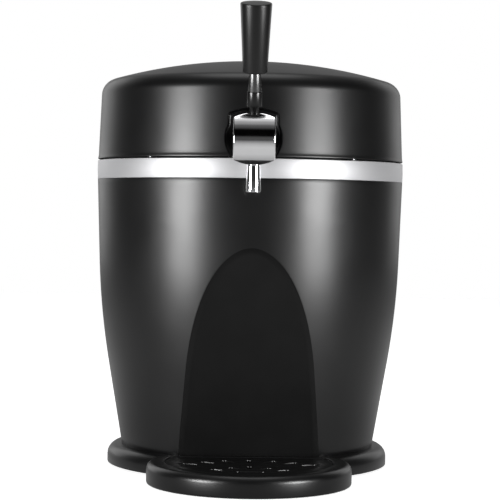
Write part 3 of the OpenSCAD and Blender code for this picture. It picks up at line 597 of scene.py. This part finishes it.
def make_tap_cover():
    """The curved cover: a front that follows a cylinder, cut to curved edges, with a cheek down each side."""
    lo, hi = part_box("tap_cover")
    radius, half, half_h, edge_r, turn_r = 26.0, hi.x / MM, 20.85, 36.3, 1.2
    axis_y, axis_z, back = lo.y / MM + radius, 281.3, hi.y / MM

    def end_z(x, top):
        z = half_h - edge_r + math.sqrt(edge_r ** 2 - x ** 2)
        notch = 1.9 * math.sqrt(max(1 - (x / 3.8) ** 2, 0)) if top else 0
        return z - notch

    turns = [math.radians(t) for t in (0, 22, 45, 68, 90)]
    across = [(half - turn_r + turn_r * math.cos(t), radius - turn_r + turn_r * math.sin(t)) for t in turns]
    inner = [12.5, 9.5, 7.0, 5.4, 4.5, 3.95, 3.78, 3.4, 2.6, 1.4, 0.0]
    right = across + [(x, radius) for x in inner]
    line = [(-x, r) for x, r in right] + [(x, r) for x, r in reversed(right[:-1])]
    rows = []
    count = 44
    for k in range(count + 1):
        share = -1 + 2 * k / count
        row = []
        for x, r in line:
            reach = end_z(abs(x), share > 0)
            limit = math.asin(reach / radius)
            a = share * limit
            row.append((x * MM, (axis_y - r * math.cos(a)) * MM, (axis_z + r * math.sin(a)) * MM))
        side = row[0]
        steps = [side[1] + (back * MM - side[1]) * s for s in (1.0, 0.7, 0.35)]
        row = [(side[0], y, side[2]) for y in steps] + row + [(-side[0], y, side[2]) for y in reversed(steps)]
        rows.append(row)
    bm = bmesh.new()
    grid(bm, rows)
    obj = close_shell(bm, "tap_cover_piece", 1.6 * MM)
    soften(obj, 0.35 * MM, 3, 60)
    return dress(obj, "tap_cover")


# ---------- turned pieces ----------

def on_lever(obj, lean=15.0, pivot=(0.0, -0.148, 0.296)):
    """Moves a piece that was turned about the Z axis onto the leaning lever."""
    obj.data.transform(Matrix.Translation(pivot) @ Matrix.Rotation(math.radians(lean), 4, "X"))
    return obj


def make_turned_pieces():
    lo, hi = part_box("trim_ring")
    r, t = hi.x / MM, 1.5
    z0, z1 = lo.z / MM, hi.z / MM
    low_edge, high_edge = [(r - t, z0, 0.2), (r - 0.15, z0, 0.5)], [(r - 0.15, z1, 0.5), (r - t, z1, 0.2)]
    band = rounded(low_edge + [(r, (z0 + z1) / 2, 0)] + high_edge, 3)
    dress(revolved("trim_ring_piece", band, 288), "trim_ring")

    lo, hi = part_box("spout")
    spout_y = (lo.y + hi.y) / 2
    z0, z1 = lo.z / MM, hi.z / MM
    outside = [(4.1, z0, 0.5), (6.0, z0, 0.6), (6.0, z0 + 9, 4), (5.1, 261, 0)]
    outside += [(6.2, 261, 0.3), (6.2, z1, 0.3)]
    inside = [(4.3, z1, 0), (4.3, 258.5, 0), (2.2, 258.5, 0), (2.2, 257, 0), (4.1, 257, 0)]
    tube = rounded(outside + inside, 5)
    dress(revolved("spout_piece", tube, 96, (0, spout_y)), "spout")

    collar = rounded([(0, 24.45, 0), (5.5, 24.45, 0.3), (4.9, 39.85, 0.3), (0, 39.85, 0)], 4)
    sleeve = dress(on_lever(revolved("lever_collar_piece", collar, 96)), "lever_collar")
    # The collar takes the darkened copy of the chrome: painted shade.
    sleeve.data.materials[0] = MATERIALS["collar_chrome_painted_shade"]

    grip = rounded([(0, 39.9, 0), (9.85, 39.9, 0.9), (12.7, 95.6, 1.1), (0, 96.0, 0)], 7)
    dress(on_lever(revolved("lever_grip_piece", grip, 128)), "lever_grip")


# ---------- all other pieces ----------

CUSTOM = {"body_shell", "lid_shell", "tap_cover", "trim_ring", "spout", "lever_collar", "lever_grip"}
WIDTHS = {"base_plinth": 0.8, "drip_tray": 0.7, "drip_grille": 0.6, "rear_cover": 0.8, "vent_grille": 0.4,
          "lever_stem": 0.5, "rubber_feet": 0.6, "collar_ring": 0.5, "keg_liner": 0.4, "lid_liner": 0.6,
          "hinge_bracket": 0.5, "hinge_arm": 0.5, "power_inlet": 0.5, "switch_housing": 0.5,
          "switch_rocker": 0.6, "keg_coupler": 0.5, "lid_gasket": 0.8, "transformer": 0.5,
          "capacitors": 0.6, "temperature_sensor": 0.6, "tap_body": 0.4, "shank_nut": 0.5,
          "fan_frame": 0.5, "fan_rotor": 0.3, "hot_heatsink": 0.25, "cold_block": 0.4, "keg_rest_pad": 0.5,
          "base_cover_plate": 0.4, "floor_insulation": 0.8, "foam_jacket": 0.8, "lid_foam": 0.8}
SWEPT = {"peltier_leads", "fan_lead", "mains_leads", "sensor_lead", "beer_line", "valve_spring"}


def make_other_pieces():
    for node in sorted(frame["nodes"]):
        if node in CUSTOM:
            continue
        width = 0 if node in SWEPT else WIDTHS.get(node, 0.25)
        refine(node, width * MM)


make_barrel()
make_lid()
make_tap_cover()
make_turned_pieces()
make_other_pieces()


# ---------- stage ----------

LENS = 127.5
CAMERA_PLACE = (-0.028, -1.575, 0.223)
CAMERA_YAW, CAMERA_DOWN, CAMERA_ROLL = -1.046, 1.229, 0.77


def make_camera():
    data = bpy.data.cameras.new("camera")
    data.sensor_width = 36
    data.lens = LENS
    data.dof.use_dof = False
    camera = bpy.data.objects.new("camera", data)
    bpy.context.scene.collection.objects.link(camera)
    place = Matrix.Translation(CAMERA_PLACE)
    aim = Matrix.Rotation(math.radians(CAMERA_YAW), 4, "Z")
    aim = aim @ Matrix.Rotation(math.radians(90 - CAMERA_DOWN), 4, "X")
    camera.matrix_world = place @ aim @ Matrix.Rotation(math.radians(CAMERA_ROLL), 4, "Z")
    bpy.context.scene.camera = camera


# How bright a floor the object mirrors, as share of the floor's radius and brightness. Like the studio's
# steps further down, these were matched to the reflections in the chrome cover.
FLOOR_R, FLOOR_LIFT = 3.2, 0.75
FLOOR_MIRRORED = [(0.0, 0.7), (0.06, 0.36), (0.11, 0.58), (0.2, 0.6), (0.3, 0.48), (0.5, 0.28), (1.0, 0.1)]


def make_floor():
    """A pale floor to the camera. Every other ray meets one that glows in rings, mostly dimmer, so that the
    dark object stays dark."""
    bm = bmesh.new()
    bmesh.ops.create_circle(bm, cap_ends=True, radius=FLOOR_R, segments=96)
    floor = from_bmesh("floor", bm)
    n = Nodes("floor")
    n.link(n.tint(n.noise(3, 2), (0.86, 0.86, 0.86), (0.88, 0.88, 0.88)), n.shader.inputs["Base Color"])
    n.set(Roughness=0.7, Specular_IOR_Level=0.1, Emission_Color=(1, 1, 1, 1), Emission_Strength=FLOOR_LIFT)
    dim = n.tree.nodes.new("ShaderNodeEmission")
    away = n.tree.nodes.new("ShaderNodeVectorMath")
    away.operation = "LENGTH"
    n.link(n.tree.nodes.new("ShaderNodeTexCoord").outputs["Object"], away.inputs[0])
    fade = n.tree.nodes.new("ShaderNodeValToRGB")
    points = fade.color_ramp.elements
    for place, v in FLOOR_MIRRORED[1:-1]:
        points.new(place).color = (v, v, v, 1)
    ends = (FLOOR_MIRRORED[0][1], FLOOR_MIRRORED[-1][1])
    points[0].color, points[-1].color = [(v, v, v, 1) for v in ends]
    reach = n.tree.nodes.new("ShaderNodeMath")
    reach.operation = "DIVIDE"
    reach.inputs[1].default_value = FLOOR_R
    n.link(away.outputs["Value"], reach.inputs[0])
    n.link(reach.outputs[0], fade.inputs["Fac"])
    n.link(fade.outputs["Color"], dim.inputs["Color"])
    path = n.tree.nodes.new("ShaderNodeLightPath")
    mix = n.tree.nodes.new("ShaderNodeMixShader")
    n.link(path.outputs["Is Camera Ray"], mix.inputs[0])
    n.link(dim.outputs[0], mix.inputs[1])
    n.link(n.shader.outputs[0], mix.inputs[2])
    n.link(mix.outputs[0], n.tree.nodes["Material Output"].inputs["Surface"])
    floor.data.materials.append(n.material)


def softbox(name, place, target, width, height, radiance):
    data = bpy.data.lights.new(name, "AREA")
    data.shape = "RECTANGLE"
    data.size = width
    data.size_y = height
    data.energy = radiance * math.pi * width * height
    light = bpy.data.objects.new(name, data)
    bpy.context.scene.collection.objects.link(light)
    light.location = place
    aim = Vector(target) - Vector(place)
    light.rotation_mode = "QUATERNION"
    light.rotation_quaternion = aim.to_track_quat("-Z", "Y")
    light.visible_camera = False
    return light


def round_object(angle, distance, height):
    """A place at that angle from the front, positive to +X, in degrees."""
    a = math.radians(angle)
    return (distance * math.sin(a), -distance * math.cos(a), height)


def make_lights():
    softbox("strip_left", round_object(-49, 1.5, 0.27), (0, 0, 0.24), 0.55, 0.4, 38)
    softbox("strip_right", round_object(48, 1.5, 0.27), (0, 0, 0.24), 0.55, 0.4, 34)
    softbox("rear_left", round_object(-140, 1.7, 0.7), (0, 0, 0.2), 0.9, 1.2, 0.8)
    softbox("rear_right", round_object(140, 1.7, 0.7), (0, 0, 0.2), 0.9, 1.2, 0.6)
    softbox("top", (0, 0.1, 2.1), (0, 0, 0), 1.2, 1.2, 1.5)


# What the object mirrors of the studio in front of it, from the horizon to overhead, as sine of the height
# and brightness. The camera never sees this.
STUDIO_FRONT = [(0.0, 0.07), (0.07, 0.07), (0.22, 0.0), (0.53, 0.0),
                (0.73, 0.09), (0.883, 0.34), (0.98, 0.75)]
STUDIO_BACK_LEFT, STUDIO_BACK_RIGHT = 0.42, 0.28


def make_world():
    """White to the camera. To the object, a dark room in front, a bright ceiling and a paler wall behind."""
    world = bpy.data.worlds.new("studio")
    world.use_nodes = True
    tree = world.node_tree
    new, link = tree.nodes.new, tree.links.new
    split = new("ShaderNodeSeparateXYZ")
    link(new("ShaderNodeTexCoord").outputs["Generated"], split.inputs[0])
    ramp = new("ShaderNodeValToRGB")
    ramp.color_ramp.interpolation = "EASE"
    points = ramp.color_ramp.elements
    ends = (STUDIO_FRONT[0], STUDIO_FRONT[-1])
    points[0].position, points[1].position = [place for place, v in ends]
    points[0].color, points[1].color = [(v, v, v, 1) for place, v in ends]
    for place, v in STUDIO_FRONT[1:-1]:
        points.new(place).color = (v, v, v, 1)
    link(split.outputs["Z"], ramp.inputs["Fac"])

    def ranged(source, low, high, to_low, to_high):
        node = new("ShaderNodeMapRange")
        node.interpolation_type = "SMOOTHSTEP"
        for key, value in (("From Min", low), ("From Max", high), ("To Min", to_low), ("To Max", to_high)):
            node.inputs[key].default_value = value
        link(source, node.inputs["Value"])
        return node.outputs["Result"]

    wall = new("ShaderNodeMath")
    wall.operation = "MULTIPLY"
    link(ranged(split.outputs["Y"], 0.1, 0.8, 0, 1), wall.inputs[0])
    link(ranged(split.outputs["X"], -0.6, 0.6, STUDIO_BACK_LEFT, STUDIO_BACK_RIGHT), wall.inputs[1])
    both = new("ShaderNodeMath")
    both.operation = "MAXIMUM"
    link(ramp.outputs["Color"], both.inputs[0])
    link(wall.outputs[0], both.inputs[1])
    link(both.outputs[0], tree.nodes["Background"].inputs["Color"])
    white = new("ShaderNodeBackground")
    white.inputs["Color"].default_value = (1, 1, 1, 1)
    mix = new("ShaderNodeMixShader")
    link(new("ShaderNodeLightPath").outputs["Is Camera Ray"], mix.inputs[0])
    link(tree.nodes["Background"].outputs[0], mix.inputs[1])
    link(white.outputs[0], mix.inputs[2])
    link(mix.outputs[0], tree.nodes["World Output"].inputs["Surface"])
    bpy.context.scene.world = world


make_camera()
make_floor()
make_lights()
make_world()
